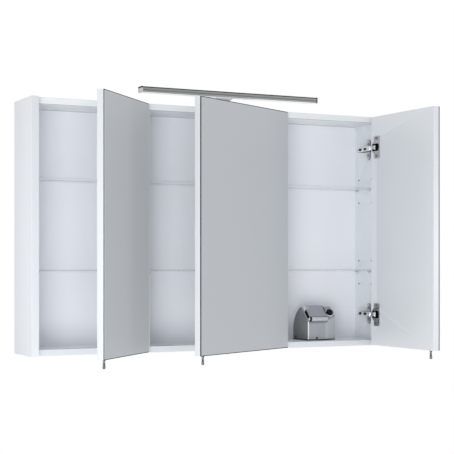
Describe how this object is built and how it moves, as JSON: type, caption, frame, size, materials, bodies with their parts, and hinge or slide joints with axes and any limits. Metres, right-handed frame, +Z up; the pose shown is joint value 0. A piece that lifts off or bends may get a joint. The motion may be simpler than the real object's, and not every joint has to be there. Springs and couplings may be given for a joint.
{
  "type": "lighted mirror cabinet",
  "caption": "Wall-hung mirror cabinet with hinged mirror doors, glass shelves, a lamp bar above the doors and a switch and socket box inside.",
  "frame": {"origin": "on the wall plane, midway between the two hanging points at the narrow ends of the wall plates' keyholes", "axes": "+X to the right seen from the front, +Y from the doors into the wall, +Z up"},
  "size_m": [1, 0.4087, 0.6705],
  "materials": {
    "white_board": "white melamine, satin",
    "back_board": "white lacquered fibreboard",
    "dowel_wood": "turned beech",
    "zinc_steel": "zinc plated",
    "door_board": "white melamine with matching edging",
    "mirror_glass": "silvered float glass",
    "nickel_steel": "nickel plated",
    "cast_plate": "nickel plated zinc casting",
    "chrome": "bright chrome",
    "bumper": "clear soft plastic",
    "black_screw": "blackened steel",
    "shelf_glass": "clear float glass with polished edges",
    "support_plastic": "pale moulded plastic",
    "pad_rubber": "dark soft pad",
    "lamp_metal": "satin anodised",
    "black_plastic": "black, fine grained",
    "opal": "opal white, lit",
    "led_board": "white solder mask",
    "bracket_metal": "satin anodised",
    "box_plastic": "mid grey, fine grained",
    "socket_plastic": "grey moulded plastic",
    "flap_plastic": "grey moulded plastic, slightly glossy",
    "collar_plastic": "pale grey"
  },
  "bodies": {
    "cabinet": {"side_panel_left": "white_board", "side_panel_right": "white_board", "top_panel": "white_board", "bottom_panel": "white_board", "partition_left": "white_board", "partition_right": "white_board", "back_panel": "back_board", "panel_dowels": "dowel_wood", "hanger_plates": "zinc_steel", "hanger_screws": "zinc_steel", "hinge_arms_left": "nickel_steel", "hinge_plates_left": "cast_plate", "hinge_arms_middle": "nickel_steel", "hinge_plates_middle": "cast_plate", "hinge_arms_right": "nickel_steel", "hinge_plates_right": "cast_plate", "hinge_plate_screws": "zinc_steel", "hinge_arm_screws": "black_screw", "shelf_left_lower": "shelf_glass", "shelf_left_upper": "shelf_glass", "shelf_middle_lower": "shelf_glass", "shelf_middle_upper": "shelf_glass", "shelf_right_lower": "shelf_glass", "shelf_right_upper": "shelf_glass", "shelf_supports": "support_plastic", "shelf_pads": "pad_rubber", "lamp_profile": "lamp_metal", "lamp_end_caps": "black_plastic", "lamp_diffuser": "opal", "lamp_led_board": "led_board", "lamp_bracket": "bracket_metal", "lamp_screws": "zinc_steel", "box_housing": "box_plastic", "socket_insert": "socket_plastic", "flap_pin": "zinc_steel", "switch_collar": "collar_plastic", "box_screws": "zinc_steel"},
    "door_left": {"door_board_left": "door_board", "mirror_left": "mirror_glass", "hinge_cups_left": "nickel_steel", "cup_screws_left": "zinc_steel", "pull_peg_left": "chrome", "door_bumpers_left": "bumper"},
    "links_left": {"hinge_links_left": "nickel_steel"},
    "door_middle": {"door_board_middle": "door_board", "mirror_middle": "mirror_glass", "hinge_cups_middle": "nickel_steel", "cup_screws_middle": "zinc_steel", "pull_peg_middle": "chrome", "door_bumpers_middle": "bumper"},
    "links_middle": {"hinge_links_middle": "nickel_steel"},
    "door_right": {"door_board_right": "door_board", "mirror_right": "mirror_glass", "hinge_cups_right": "nickel_steel", "cup_screws_right": "zinc_steel", "pull_peg_right": "chrome", "door_bumpers_right": "bumper"},
    "links_right": {"hinge_links_right": "nickel_steel"},
    "flap": {"socket_flap": "flap_plastic"},
    "button": {"switch_button": "black_plastic"}
  },
  "joints": [
    {"name": "door_left_hinge", "type": "hinge", "parent": "cabinet", "child": "door_left", "pos_m": [-0.2045, -0.135, -0.25], "axis": [0, 0, 1], "range_deg": [-46, 49]},
    {"name": "door_middle_hinge", "type": "hinge", "parent": "cabinet", "child": "door_middle", "pos_m": [0.1875, -0.135, -0.25], "axis": [0, 0, 1], "range_deg": [-29, 66]},
    {"name": "door_right_hinge", "type": "hinge", "parent": "cabinet", "child": "door_right", "pos_m": [0.4715, -0.135, -0.25], "axis": [0, 0, 1], "range_deg": [-91, 4]},
    {"name": "links_left_turn", "type": "hinge", "parent": "cabinet", "child": "links_left", "pos_m": [-0.2045, -0.135, -0.25], "axis": [0, 0, 1], "range_deg": [-27.6, 29.4]},
    {"name": "links_middle_turn", "type": "hinge", "parent": "cabinet", "child": "links_middle", "pos_m": [0.1875, -0.135, -0.25], "axis": [0, 0, 1], "range_deg": [-17.4, 39.6]},
    {"name": "links_right_turn", "type": "hinge", "parent": "cabinet", "child": "links_right", "pos_m": [0.4715, -0.135, -0.25], "axis": [0, 0, 1], "range_deg": [-54.6, 2.4]},
    {"name": "flap_hinge", "type": "hinge", "parent": "cabinet", "child": "flap", "pos_m": [0.3155, -0.0541, -0.45836], "axis": [-1, 0, 0], "range_deg": [0, 95], "stiffness_Nm_per_rad": 0.004, "springref_deg": -20.05},
    {"name": "button_press", "type": "slide", "parent": "cabinet", "child": "button", "axis": [0, 0.7071, -0.7071], "range_m": [0, 0.002], "stiffness_N_per_m": 300}
  ],
  "couplings": [
    {"joint": "links_left_turn", "follows": "door_left_hinge", "ratio": 0.6},
    {"joint": "links_middle_turn", "follows": "door_middle_hinge", "ratio": 0.6},
    {"joint": "links_right_turn", "follows": "door_right_hinge", "ratio": 0.6}
  ]
}
